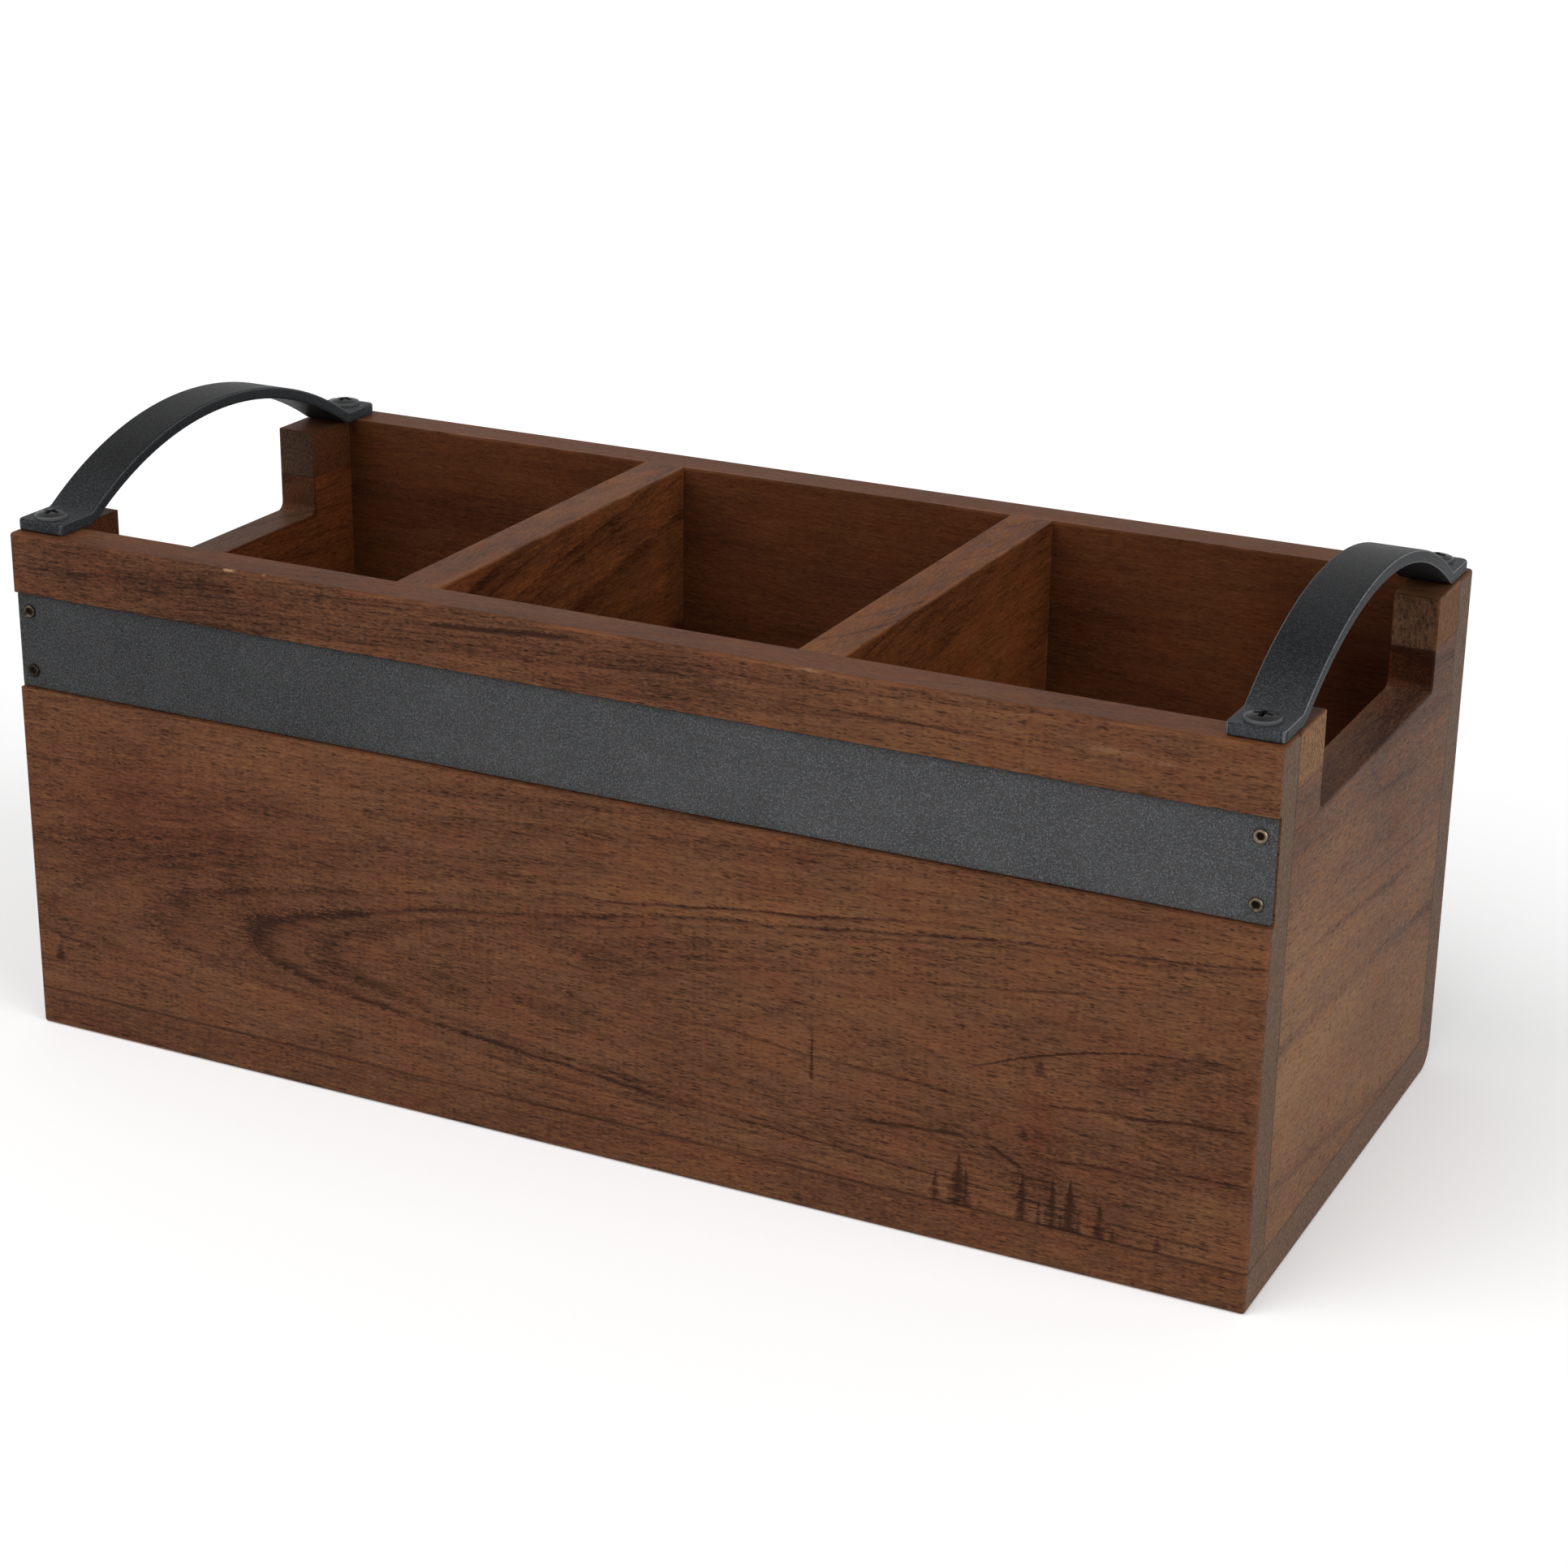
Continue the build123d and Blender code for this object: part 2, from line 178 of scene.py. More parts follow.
def shade_faces(tree, place, colour, shaded):
    """Darkens the colour inside the shaded boxes, and returns it with how open the pores stay there. Each
    box comes with its tone, and after it how far it fades out along x, y and z where that isn't 0.3 mm."""
    filled = 0.0
    for (box_low, box_high), shade_tone, *fade in shaded:
        middle = [(a + b) / 2 for a, b in zip(box_low, box_high)]
        half = [(b - a) / 2 for a, b in zip(box_low, box_high)]
        off = add_node(tree, "VectorMath", {0: place, 1: middle}, operation="SUBTRACT")
        off = add_node(tree, "VectorMath", {0: off}, operation="ABSOLUTE")
        off = add_node(tree, "VectorMath", {0: off, 1: half}, operation="SUBTRACT")
        off = add_node(tree, "VectorMath", {0: off, 1: fade[0] if fade else (0.3, 0.3, 0.3)},
                       operation="DIVIDE")
        off = add_node(tree, "SeparateXYZ", {0: off}).node.outputs
        outside = add_node(tree, "Math", {0: off[0], 1: off[1]}, operation="MAXIMUM")
        outside = add_node(tree, "Math", {0: outside, 1: off[2]}, operation="MAXIMUM")
        shade = add_node(tree, "MapRange", {0: outside, 1: 0.0, 2: 1.0, 3: 1.0, 4: 0.0})
        colour = add_node(tree, "MixRGB", {0: shade, 1: colour, 2: linear(shade_tone)},
                          blend_type="MULTIPLY")
        filled = add_node(tree, "Math", {0: filled, 1: shade}, operation="MAXIMUM")
    return colour, add_node(tree, "MapRange", {0: filled, 1: 0.0, 2: 1.0, 3: 1.0, 4: 0.4})


def stained_wood(name, tones, grain, heart, seed, lean=(0.0, 0.0), arch=(0.0, 0.0), ring_step=3.0,
                 figure=1.0, clouding=1.0, contrast=1.0, rings=(), seams=(), worn=(), shaded=(),
                 end_tone=None, end_axes=None, end_grit=0.3, marks=None):
    """Porous hardwood under walnut stain and satin lacquer, solid through the board.

    tones runs from the darkest streaks to the lightest. heart is where the tree's centre line passes, across
    the grain, and lean is how it drifts per millimetre along the grain. arch is how fast the centre line
    nears the board and where it reaches it, which opens the rings into arches. ring_step is how wide a ring
    is, figure how strong the rings show, clouding how uneven the stain is and contrast how strong all of it
    is. Seams are stained dark and worn edges rubbed light. The faces in the shaded boxes are painted darker
    as shade, and their pores are partly filled there. The faces across end_axes show the cut fibres. marks
    tells how much a place is darkened, reddened and chipped."""
    material, tree, place = start_material(name)
    axes = add_node(tree, "SeparateXYZ", {0: place}).node.outputs
    order = {"x": (0, 1, 2), "y": (1, 0, 2)}[grain]
    along, across, up = (axes[i] for i in order)
    board = add_node(tree, "CombineXYZ", {0: along, 1: across, 2: up})
    log_place = add_node(tree, "VectorMath", {0: board, 1: (131.0 * seed, 57.0 * seed, 23.0 * seed)},
                         operation="ADD")

    # Slow and quick waver of the fibres
    waver = board
    for length, width, swing in ((80.0, 26.0, 3.2), (9.0, 2.8, 0.7)):
        drift = streaks(tree, log_place, length, width).node.outputs["Color"]
        drift = add_node(tree, "VectorMath", {0: drift, 1: (0.5, 0.5, 0.5)}, operation="SUBTRACT")
        waver = add_node(tree, "VectorMath", {0: drift, 1: (0.0, swing, swing), 2: waver},
                         operation="MULTIPLY_ADD")
    fibre_place = add_node(tree, "VectorMath", {0: waver, 1: (97.0 * seed, 31.0 * seed, 71.0 * seed)},
                           operation="ADD")
    speckle = streaks(tree, fibre_place, 1.1, 0.27)
    dashes = streaks(tree, fibre_place, 3.2, 0.42)
    fibres = streaks(tree, fibre_place, 13.0, 0.7)
    stain = streaks(tree, log_place, 48.0, 17.0, detail=3.0)
    patches = streaks(tree, log_place, 15.0, 8.0)
    radius = from_heart(tree, along, waver, speckle, heart, lean, arch)
    bands, late = growth_rings(tree, radius, stain, patches, ring_step, seed, figure, rings)
    pores = open_pores(tree, fibre_place, late)

    # One tone from all of these, then the stain's colours
    tone = 0.5
    for layer, weight in ((bands, 0.38 * figure), (speckle, 0.72), (dashes, 0.6), (fibres, 0.45),
                          (stain, 0.35 * clouding), (patches, 0.25 * clouding)):
        offset = add_node(tree, "Math", {0: layer, 1: 0.5}, operation="SUBTRACT")
        tone = add_node(tree, "Math", {0: offset, 1: contrast * weight, 2: tone}, operation="MULTIPLY_ADD")
    tone = add_node(tree, "Math", {0: late, 1: -0.36 * contrast, 2: tone}, operation="MULTIPLY_ADD")
    redder = add_node(tree, "MapRange", {0: patches, 1: 0.44, 2: 0.62, 3: 0.0, 4: 0.5})
    if marks:
        darkening, reddening, chips = marks(tree, place, speckle)
        tone = add_node(tree, "Math", {0: tone, 1: darkening}, operation="SUBTRACT")
        redder = add_node(tree, "Math", {0: redder, 1: reddening}, operation="MAXIMUM")
    ramp = add_node(tree, "ValToRGB", {0: tone}).node
    stops = ramp.color_ramp.elements
    stops.new(0.5)
    for stop, position, tone_colour in zip(stops, (0.1, 0.5, 0.9), tones):
        stop.position = position
        stop.color = linear(tone_colour)
    colour = add_node(tree, "MixRGB", {0: redder, 1: ramp.outputs[0], 2: linear(red_tint)},
                      blend_type="MULTIPLY")
    if end_tone:
        colour = cut_faces(tree, place, colour, end_tone, end_axes or order[:1], end_grit)
    colour, open_share = shade_faces(tree, place, colour, shaded)
    pores = add_node(tree, "Math", {0: pores, 1: open_share}, operation="MULTIPLY")
    pore_shade = add_node(tree, "Math", {0: pores, 1: 0.75}, operation="MULTIPLY")
    colour = add_node(tree, "MixRGB", {0: pore_shade, 1: colour, 2: linear(pore_tone)})

    # Handling rubs the worn edges through to lighter wood here and there, and dirt darkens the seams
    rub_reach, seam_reach = 0.6, 0.55
    rub = edge_lines(tree, place, worn, rub_reach, fibres)
    chance = add_node(tree, "MapRange", {0: patches, 1: 0.48, 2: 0.64, 3: 0.03, 4: 0.5})
    rub = add_node(tree, "Math", {0: rub, 1: chance}, operation="MULTIPLY")
    colour = add_node(tree, "MixRGB", {0: rub, 1: colour, 2: linear(rubbed_tone)})
    if marks:
        colour = add_node(tree, "MixRGB", {0: chips, 1: colour, 2: linear(bare_tone)})
    seam = edge_lines(tree, place, seams, seam_reach, 0.0)
    seam_depth = add_node(tree, "MapRange", {0: stain, 1: 0.35, 2: 0.6, 3: 0.85, 4: 0.45})
    seam = add_node(tree, "Math", {0: seam, 1: seam_depth}, operation="MULTIPLY")
    colour = add_node(tree, "MixRGB", {0: seam, 1: colour, 2: linear(seam_tone)})

    # Lacquer sinks into the pores, so the surface is satin with open grain and only a faint shine
    pore_depth = 0.00015
    height = add_node(tree, "Math", {0: speckle, 1: 0.5, 2: 0.5}, operation="MULTIPLY_ADD")
    height = add_node(tree, "Math", {0: pores, 1: -0.8, 2: height}, operation="MULTIPLY_ADD")
    normal = add_node(tree, "Bump", {"Strength": 0.35, "Distance": pore_depth, "Height": height})
    rough = add_node(tree, "MapRange", {0: fibres, 1: 0.3, 2: 0.7, 3: 0.46, 4: 0.62})
    shader = add_node(tree, "BsdfPrincipled", {"Base Color": colour, "Roughness": rough, "Normal": normal,
                                               "IOR": 1.5, "Specular IOR Level": 0.06})
    add_node(tree, "OutputMaterial", {0: shader})
    return material


def dress(name, material, arris=0.00022):
    """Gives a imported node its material, and a hair of rounding on its sharp arrises."""
    node = nodes[name]
    for slot in node.material_slots:
        slot.material = material
    if arris:
        weld = node.modifiers.new("weld", "WELD")
        weld.merge_threshold = 1e-6
        bevel = node.modifiers.new("arris", "BEVEL")
        bevel.width = arris
        bevel.segments = 2
        bevel.limit_method = "ANGLE"
        bevel.angle_limit = math.radians(50)
        bevel.harden_normals = False


def box_mm(name):
    """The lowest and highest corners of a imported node, in millimetres."""
    return [[value * MM for value in corner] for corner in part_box(name)]


board_low, board_high = box_mm("bottom_board")
# The room inside the walls, a hair larger than it is, whose faces are painted darker as shade, and the top
# of the walls with its tone, a painted shade that takes the sheen off the tops
inside_x, inside_y = box_mm("right_end_panel")[0][0] + 0.15, box_mm("back_panel")[0][1] + 0.13
rim_height = box_mm("back_panel")[1][2]
bays = ((-inside_x, -inside_y, board_high[2] - 0.2), (inside_x, inside_y, rim_height - 0.5))
rim = ((-150.0, -70.0, rim_height - 0.2), (150.0, 70.0, rim_height + 1.0)), "#ebe0d4"
bottom_wood = stained_wood(
    "walnut_stained_board", tones=("#301c12", "#5b3a28", "#7c5434"), grain="x", figure=0.7,
    heart=(20.0, 48.0), lean=(0.05, -0.09), ring_step=2.6, seed=3.0, end_tone="#654d3d",
    # The top face inside the bays is painted darker as shade.
    shaded=[(bays, "#c2a890")],
    seams=[((1, board_low[1]), (2, board_high[2])), ((0, board_high[0]), (2, board_high[2])),
           ((0, board_low[0]), (2, board_high[2])), ((1, board_high[1]), (2, board_high[2]))],
    worn=[((1, board_low[1]), (2, board_low[2])), ((0, board_high[0]), (1, board_low[1]))])
dress("bottom_board", bottom_wood)


# End panels: the lower boards of the edge-glued ends, between the front and back panels, with the grain
# running across. Their outer faces are painted paler and greyer than the front, a painted sheen, and the
# notch, the floor of the notch and the faces inside the bays are painted darker as shade.
def spot_at(tree, place, ragged, middle, size, strength, ragged_share):
    """A soft spot of the given half sizes in millimetres, with a ragged edge."""
    spot = add_node(tree, "VectorMath", {0: place, 1: middle}, operation="SUBTRACT")
    spot = add_node(tree, "VectorMath", {0: spot, 1: size}, operation="DIVIDE")
    spot = add_node(tree, "VectorMath", {0: spot}, operation="LENGTH").node.outputs["Value"]
    rough_edge = add_node(tree, "Math", {0: ragged, 1: 0.5}, operation="SUBTRACT")
    spot = add_node(tree, "Math", {0: rough_edge, 1: ragged_share, 2: spot}, operation="MULTIPLY_ADD")
    return add_node(tree, "MapRange", {0: spot, 1: 0.2, 2: 1.2, 3: strength, 4: 0.0})


def add_clouds(tree, place, ragged, total, clouds, ragged_share):
    """Adds broad clouds in the stain to the darkening so far: dark ones and, below zero, rubbed ones."""
    for middle, size, strength in clouds:
        cloud = spot_at(tree, place, ragged, middle, size, strength, ragged_share)
        total = add_node(tree, "Math", {0: total, 1: cloud}, operation="ADD")
    return total


def end_light_and_clouds(tree, place, ragged):
    """The marks of the right end: it is painted lighter low down and near the front, as light bounced from
    the floor, and has dark clouds below the notch. It is neither reddened nor chipped."""
    face = 146.0
    darkening = add_clouds(tree, place, ragged, 0.0, (
        ((face, 28.0, 98.0), (9.0, 60.0, 24.0), 0.34),
        # These two clouds brighten the face: painted light low down and near the front.
        ((face, -56.0, 52.0), (9.0, 62.0, 40.0), -0.3),
        ((face, 20.0, 24.0), (9.0, 70.0, 30.0), -0.14),
        ((face, -52.0, 93.0), (9.0, 26.0, 14.0), 0.2),
    ), ragged_share=0.6)
    return darkening, 0.0, 0.0


# The room between the notches' sides, and the thin layer of their floors with its tone: their faces are
# painted darker as shade
notch_side, notch_depth = box_mm("right_back_post_block")[0][1] + 0.15, 20.5
notch_floor = rim_height - notch_depth
notches = ((-147.0, -notch_side, notch_floor + 0.4), (147.0, notch_side, rim_height - 0.4))
notch_floors = ((-147.0, -notch_side, notch_floor - 0.5), (147.0, notch_side, notch_floor + 0.1)), "#ccccd8"
# Each end's tone of painted shade on its notch's sides
for name, notch_tone, seed, marks in (
    ("left_end_panel", "#bca89c", 6.3, None),
    ("right_end_panel", "#aa8e76", 5.0, end_light_and_clouds),
):
    low, high = box_mm(name)
    outer = low[0] if low[0] < 0 else high[0]
    end_wood = stained_wood(
        "walnut_stained_" + name, tones=("#3e281c", "#684832", "#82603f"), grain="y", contrast=1.3,
        heart=(outer * 0.8, 31.0), lean=(0.02, -0.12), ring_step=5.2, figure=0.7, seed=seed, marks=marks,
        seams=[((0, outer), (1, low[1])), ((0, outer), (1, high[1])), ((0, outer), (2, low[2]))],
        shaded=[(bays, "#e8bc98"), (notches, notch_tone), notch_floors])
    dress(name, end_wood)


# Front panel: one plain-sawn plank with the groove for the band. The saw passed near the heart, so its face
# has a tall arch opening to the right. Dark smears, streaks, a hair crack and a chipped arris mark its face.
front_low, front_high = box_mm("front_panel")


def foot_smears(tree, axes, rough_edge):
    """Dark smears that rise from the panel's foot and taper upwards, and a few small ones above them."""
    foot, tip_width, smear_strength = front_low[2], 0.08, 0.9
    total = 0.0
    # Each smear: its middle along the panel, its foot, its top, half its width at the foot, its depth
    for middle, bottom, top, half_width, depth in (
        (79.5, foot, 16.5, 1.0, 0.45), (84.6, foot, 21.5, 2.0, 0.55), (86.2, foot, 18.8, 1.2, 0.5),
        (89.4, foot, 13.0, 0.6, 0.3), (98.5, foot, 20.6, 1.1, 0.55), (102.1, foot, 15.2, 0.5, 0.4),
        (105.0, foot, 20.5, 1.2, 0.5), (106.9, foot, 13.6, 0.8, 0.45), (108.7, foot, 21.3, 1.4, 0.6),
        (110.6, foot, 15.0, 0.8, 0.4), (115.1, foot, 17.8, 1.2, 0.5), (118.0, foot, 13.2, 0.6, 0.4),
        (127.3, foot, 13.6, 0.6, 0.3), (51.4, 30.0, 41.5, 0.45, 0.5), (101.3, 42.0, 46.0, 1.0, 0.4),
        (98.2, 27.4, 30.4, 0.9, 0.4), (-139.8, 17.0, 21.5, 1.3, 0.45),
    ):
        taper = add_node(tree, "MapRange", {0: axes[2], 1: bottom, 2: top, 3: half_width, 4: tip_width})
        off = apart(tree, axes[0], middle)
        off = add_node(tree, "Math", {0: off, 1: taper}, operation="DIVIDE")
        off = add_node(tree, "Math", {0: rough_edge, 1: 2.2, 2: off}, operation="MULTIPLY_ADD")
        smear = add_node(tree, "MapRange", {0: off, 1: 0.0, 2: 1.8, 3: smear_strength * depth, 4: 0.0})
        end = add_node(tree, "MapRange", {0: axes[2], 1: top - 2.0, 2: top, 3: 1.0, 4: 0.0})
        start = add_node(tree, "MapRange", {0: axes[2], 1: bottom - 0.6, 2: bottom, 3: 0.0, 4: 1.0})
        smear = add_node(tree, "Math", {0: smear, 1: end}, operation="MULTIPLY")
        smear = add_node(tree, "Math", {0: smear, 1: start}, operation="MULTIPLY")
        total = add_node(tree, "Math", {0: total, 1: smear}, operation="MAXIMUM")
    return total


def grain_streaks(tree, axes, rough_edge, total):
    """Adds the dark streaks that sway along the grain to the darkening so far."""
    sway_length, sway_swing = 32.0, 3.0
    sway = add_node(tree, "Math", {0: axes[0], 1: 1 / sway_length}, operation="MULTIPLY")
    sway = add_node(tree, "TexNoise", {"W": sway, "Scale": 1.0, "Detail": 2.0}, noise_dimensions="1D")
    sway = add_node(tree, "Math", {0: sway, 1: 0.5}, operation="SUBTRACT")
    # Each streak: its start and end along the panel, its height there, its rise, half its width, its depth
    for start, end, height, rise, half_width, depth in (
        (-20.0, 90.0, 57.0, 0.13, 0.3, 0.35), (68.0, 114.0, 55.2, 0.14, 0.3, 0.25),
        (14.0, 98.0, 37.8, -0.06, 0.35, 0.28), (96.0, 152.0, 34.8, 0.1, 0.35, 0.35),
        (58.0, 92.0, 23.0, 0.07, 0.4, 0.35), (90.0, 99.0, 24.8, -0.5, 0.4, 0.35),
        (98.0, 130.0, 23.5, 0.06, 0.35, 0.3), (126.0, 150.0, 26.8, 0.08, 0.3, 0.35),
        (-46.0, 2.0, 113.2, 0.05, 0.6, 0.42), (-60.0, 20.0, 84.0, 0.02, 0.35, 0.2),
        (40.0, 120.0, 110.6, -0.01, 0.3, 0.25),
    ):
        line = add_node(tree, "Math", {0: axes[0], 1: start}, operation="SUBTRACT")
        line = add_node(tree, "Math", {0: line, 1: rise, 2: height}, operation="MULTIPLY_ADD")
        off = add_node(tree, "Math", {0: axes[2], 1: line}, operation="SUBTRACT")
        off = add_node(tree, "Math", {0: sway, 1: sway_swing, 2: off}, operation="MULTIPLY_ADD")
        off = add_node(tree, "Math", {0: rough_edge, 1: 1.0, 2: off}, operation="MULTIPLY_ADD")
        off = add_node(tree, "Math", {0: off}, operation="ABSOLUTE")
        streak = add_node(tree, "MapRange", {0: off, 1: 0.3 * half_width, 2: 1.5 * half_width, 3: depth,
                                             4: 0.0})
        off = apart(tree, axes[0], (start + end) / 2)
        half_length = (end - start) / 2
        fade = add_node(tree, "MapRange", {0: off, 1: 0.5 * half_length, 2: half_length, 3: 1.0, 4: 0.0})
        streak = add_node(tree, "Math", {0: streak, 1: fade}, operation="MULTIPLY")
        total = add_node(tree, "Math", {0: total, 1: streak}, operation="MAXIMUM")
    return total


def hair_crack(tree, axes, rough_edge):
    """A crack that rises from its start and flattens out towards the right end."""
    crack_start, crack_height, crack_rise, crack_bend = 85.4, 40.0, 0.46, -0.0043
    ahead = add_node(tree, "Math", {0: axes[0], 1: crack_start}, operation="SUBTRACT")
    curve = add_node(tree, "Math", {0: ahead, 1: crack_bend, 2: crack_rise}, operation="MULTIPLY_ADD")
    curve = add_node(tree, "Math", {0: ahead, 1: curve, 2: crack_height}, operation="MULTIPLY_ADD")
    off = add_node(tree, "Math", {0: axes[2], 1: curve}, operation="SUBTRACT")
    off = add_node(tree, "Math", {0: rough_edge, 1: 1.2, 2: off}, operation="MULTIPLY_ADD")
    off = add_node(tree, "Math", {0: off}, operation="ABSOLUTE")
    crack = add_node(tree, "MapRange", {0: off, 1: 0.08, 2: 0.3, 3: 0.6, 4: 0.0})
    begun = add_node(tree, "MapRange", {0: ahead, 1: 0.0, 2: 7.0, 3: 0.0, 4: 1.0})
    faded = add_node(tree, "MapRange", {0: ahead, 1: 25.0, 2: 55.0, 3: 1.0, 4: 0.2})
    crack = add_node(tree, "Math", {0: crack, 1: begun}, operation="MULTIPLY")
    return add_node(tree, "Math", {0: crack, 1: faded}, operation="MULTIPLY")


def workshop_marks(tree, place, ragged):
    """How much the marks on the front panel's face darken it, redden it and chip it. Its wood is reddish
    where the grain is crossed and in a cloud on the left, and small chips lie along the rim and above the
    band."""
    axes = add_node(tree, "SeparateXYZ", {0: place}).node.outputs
    rough_edge = add_node(tree, "Math", {0: ragged, 1: 0.5}, operation="SUBTRACT")
    face = front_low[1]
    total = foot_smears(tree, axes, rough_edge)
    total = grain_streaks(tree, axes, rough_edge, total)
    crack = hair_crack(tree, axes, rough_edge)
    total = add_node(tree, "Math", {0: total, 1: crack}, operation="MAXIMUM")
    on_face = add_node(tree, "MapRange", {0: axes[1], 1: face + 0.3, 2: face + 1.0, 3: 1.0, 4: 0.0})
    total = add_node(tree, "Math", {0: total, 1: on_face}, operation="MULTIPLY")
    left_cloud = (-112.0, face, 58.0), (50.0, 9.0, 22.0)
    total = add_clouds(tree, place, ragged, total, (
        ((-112.0, face, 111.5), (62.0, 9.0, 9.5), 0.17),
        (*left_cloud, 0.08),
        ((-110.0, face, 36.0), (55.0, 9.0, 15.0), 0.1),
        ((48.0, face, 60.0), (50.0, 9.0, 14.0), -0.19),
        ((82.0, face, 112.0), (32.0, 9.0, 10.0), -0.16),
        ((141.0, face, 36.0), (18.0, 9.0, 14.0), 0.17),
        ((138.0, face, 16.0), (16.0, 9.0, 9.0), -0.2),
        ((8.0, face, 112.0), (30.0, 9.0, 9.0), 0.1),
    ), ragged_share=0.8)
    crossed_grain = spot_at(tree, place, ragged, (101.5, face, 29.0), (6.0, 3.0, 15.0), 0.9, 2.0)
    cloud = spot_at(tree, place, ragged, *left_cloud, 0.8, 0.8)
    reddening = add_node(tree, "Math", {0: crossed_grain, 1: cloud}, operation="MAXIMUM")
    chips = 0.0
    for middle, size, strength, ragged_share in (
        ((-87.8, face + 0.2, 117.8), (1.5, 0.6, 0.4), 0.8, 2.5),
        ((-79.0, face + 0.6, 118.0), (0.4, 0.4, 0.3), 0.6, 1.0),
        ((49.0, face + 0.1, 117.7), (3.5, 0.6, 0.4), 0.3, 3.0),
        ((112.0, face, 112.2), (5.0, 1.5, 0.7), 0.2, 6.0),
        ((124.0, face, 111.3), (2.5, 1.5, 0.4), 0.2, 6.0),
    ):
        chip = spot_at(tree, place, ragged, middle, size, strength, ragged_share)
        chips = add_node(tree, "Math", {0: chips, 1: chip}, operation="MAXIMUM")
    return total, reddening, chips


front_wood = stained_wood(
    "walnut_stained_front_plank", tones=("#341e13", "#62402c", "#7d5637"), grain="x",
    heart=(front_low[1], 37.5), lean=(0.0, 0.04), arch=(4.2, 155.0), ring_step=2.8, seed=1.0, figure=0.6,
    # Painted shade on the inner face, and on the rim's top against the sheen there.
    clouding=1.35, end_tone="#604a38", shaded=[(bays, "#c8b094"), rim],
    rings=[(31.5, 0.42, 1.2), (30.3, 0.5, 0.5), (28.4, 0.28, 0.7), (25.6, 0.24, 0.4), (33.4, 0.24, 0.45),
           (35.6, 0.28, 0.4)],
    seams=[((1, front_low[1]), (2, front_low[2])), ((0, front_high[0]), (1, front_high[1])),
           ((0, front_low[0]), (1, front_high[1])), ((0, front_high[0]), (2, front_low[2]))],
    worn=[((1, front_low[1]), (2, front_high[2])), ((0, front_high[0]), (1, front_low[1]))],
    marks=workshop_marks)
dress("front_panel", front_wood)


# Back panel: a plain plank like the front one, but with no groove. Its inner face is painted darker as
# shade, most towards the right corner, and its top is toned down by a painted shade against the sheen.
back_low, back_high = box_mm("back_panel")
# A broad painted shade in the right corner of the inner face
right_corner_shade = ((124.0, back_low[1] - 5.0, 0.0), (136.0, back_low[1] + 0.05, 96.0))
corner_fade = (26.0, 0.1, 26.0)
back_wood = stained_wood(
    "walnut_stained_back_plank", tones=("#341e13", "#603f2b", "#7b5536"), grain="x", figure=0.4,
    contrast=0.8, clouding=1.5, heart=(back_high[1] + 22.0, 71.0), lean=(0.04, 0.02), ring_step=4.8,
    seed=2.0, end_tone="#5f4937",
    seams=[((1, back_high[1]), (2, back_low[2])), ((0, back_high[0]), (1, back_low[1])),
           ((0, back_low[0]), (1, back_low[1]))],
    worn=[((1, back_high[1]), (2, back_high[2])), ((1, back_low[1]), (2, back_high[2]))],
    shaded=[(bays, "#e2cab2"), (right_corner_shade, "#98867c", corner_fade), rim])
dress("back_panel", back_wood)


# Post blocks: short ends of the strip glued along the top of each end. They come from open-pored stock that
# took the stain unevenly, so the right ones stand out golden beside the lower board.
left_tones, right_tones = ("#3a241c", "#684632", "#82583e"), ("#36230f", "#5f4430", "#7c5b3e")
# The left blocks' tops take a darker painted shade against the sheen; the golden tint is for the right back
# one.
left_rim, golden_tone = (rim[0], "#cdc3be"), "#f0c846"
for side, face, tones, cut_tone, end_grit, block_rim in (
    ("left", "front", left_tones, "#4c392b", 0.25, left_rim),
    ("left", "back", left_tones, "#4c392b", 0.25, left_rim),
    ("right", "front", right_tones, "#805834", 0.5, rim),
    ("right", "back", right_tones, "#664934", 0.5, rim),
):
    name = side + "_" + face + "_post_block"
    low, high = box_mm(name)
    outer = low[0] if side == "left" else high[0]
    joint, notch = (low[1], high[1]) if face == "front" else (high[1], low[1])
    # Painted shade inside the bays, on the notch's sides and on the top against the sheen.
    shaded = [(bays, "#f4ccaa"), (notches, "#dcdce2"), block_rim]
    if (side, face) == ("right", "back"):
        # The right back block's outer face is tinted deeper gold: partly its stain, partly painted to cancel
        # the grey sheen that the right lamp lays on it.
        outer_face = ((outer - 0.1, low[1], low[2] + 0.3), (outer + 1.0, high[1], rim_height - 0.5))
        shaded.append((outer_face, golden_tone))
    block_wood = stained_wood(
        "open_pored_" + name, tones=tones, grain="x", heart=(joint * 1.6, 96.0), ring_step=2.2,
        seed=len(name) + high[1] / 20, end_tone=cut_tone, end_axes=(0, 1), end_grit=end_grit,
        seams=[((0, outer), (1, joint)), ((0, outer), (2, low[2])), ((1, notch), (2, low[2]))],
        worn=[((0, outer), (2, high[2])), ((0, outer), (1, notch))],
        shaded=shaded)
    dress(name, block_wood)


# Dividers: two cross boards flush with the rim, painted darker as shade inside the bays and rubbed paler
# along their top edges. Their stain is the most uneven of all, and their tops are painted darker as shade
# against the sheen, the right one less and yellower.
for name, middle_tone, bay_tone, rim_tone in (
    ("left_divider", "#61402c", "#f4d8b6", rim[1]),
    ("right_divider", "#664528", "#e6c4b0", "#ffe2c0"),
):
    low, high = box_mm(name)
    divider_wood = stained_wood(
        "walnut_stained_" + name, tones=("#341c10", middle_tone, "#885c38"), grain="y",
        heart=(low[0] - 6.0, 84.0), lean=(0.03, 0.16), ring_step=5.0, seed=8.0 + low[0] / 40, clouding=2.3,
        shaded=[(bays, bay_tone), (rim[0], rim_tone)],
        worn=[((0, low[0]), (2, high[2])), ((0, high[0]), (2, high[2])), ((0, high[0]), (1, high[1]))])
    dress(name, divider_wood)


